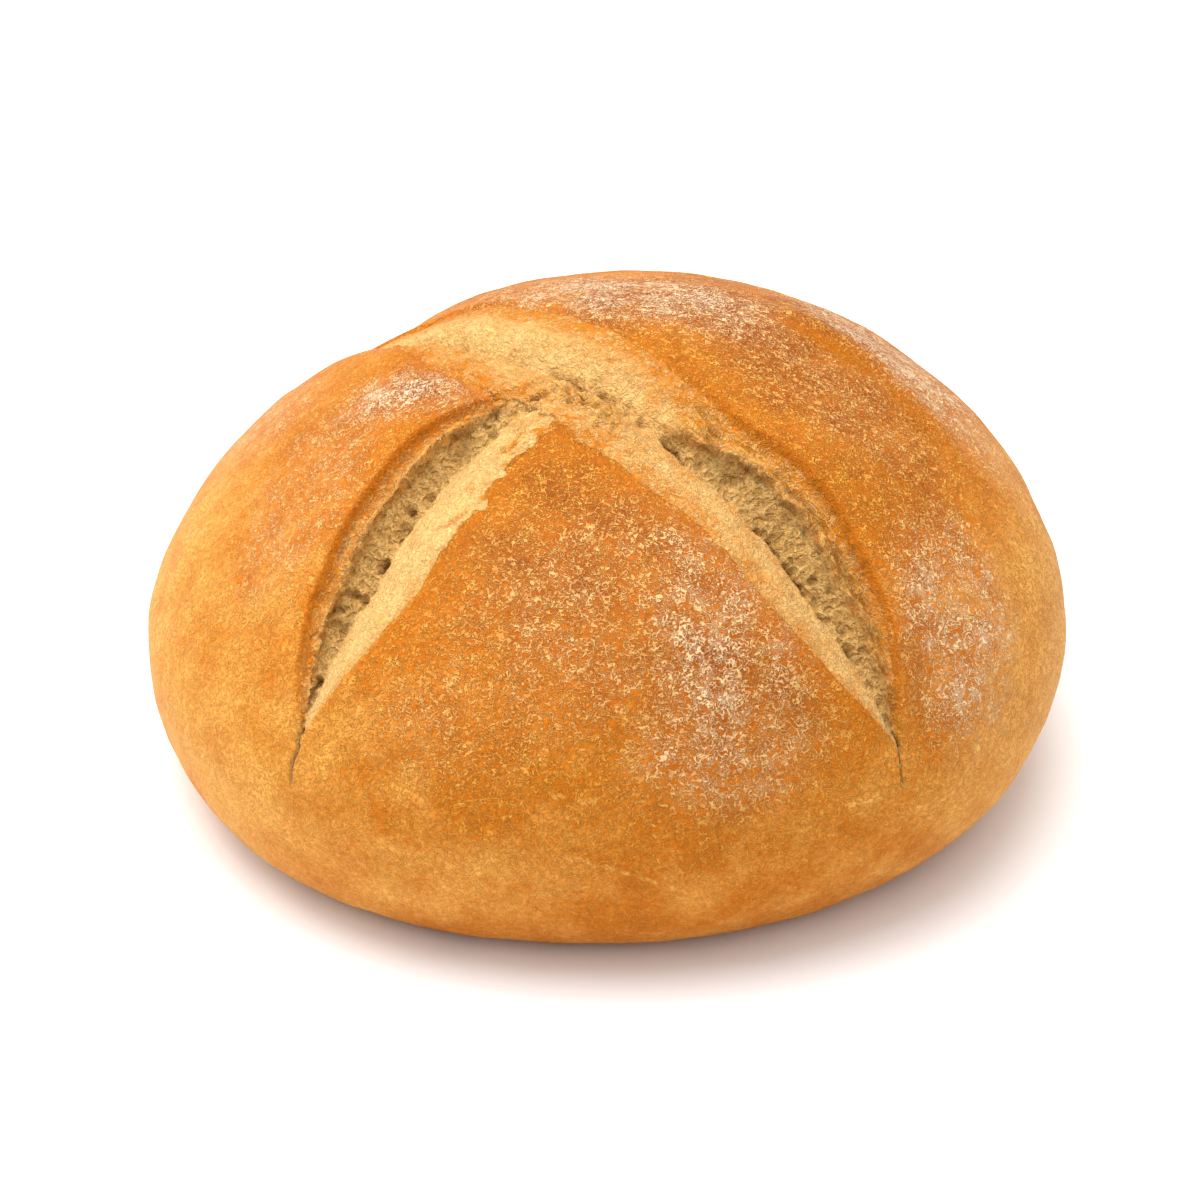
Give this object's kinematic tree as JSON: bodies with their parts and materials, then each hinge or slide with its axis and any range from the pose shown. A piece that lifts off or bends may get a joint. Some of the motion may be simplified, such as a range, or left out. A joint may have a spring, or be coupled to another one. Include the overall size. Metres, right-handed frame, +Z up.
{
  "type": "round loaf",
  "caption": "Round domed wheat loaf, baked as one piece, its crust scored with a long cut and a short cut that meet near the top, on a flat base.",
  "frame": {"origin": "on the flat base, below the middle of the loaf's outline seen from above", "axes": "+Z up; +X to the loaf's right and -Y to its front, which is the side that the short cut runs down to at the left"},
  "size_m": [0.2198, 0.2134, 0.1071],
  "materials": {
    "crust": "golden-brown baked crust, dusted with flour, with pale open crumb in the cuts"
  },
  "bodies": {
    "root": {"loaf": "crust"}
  },
  "joints": []
}
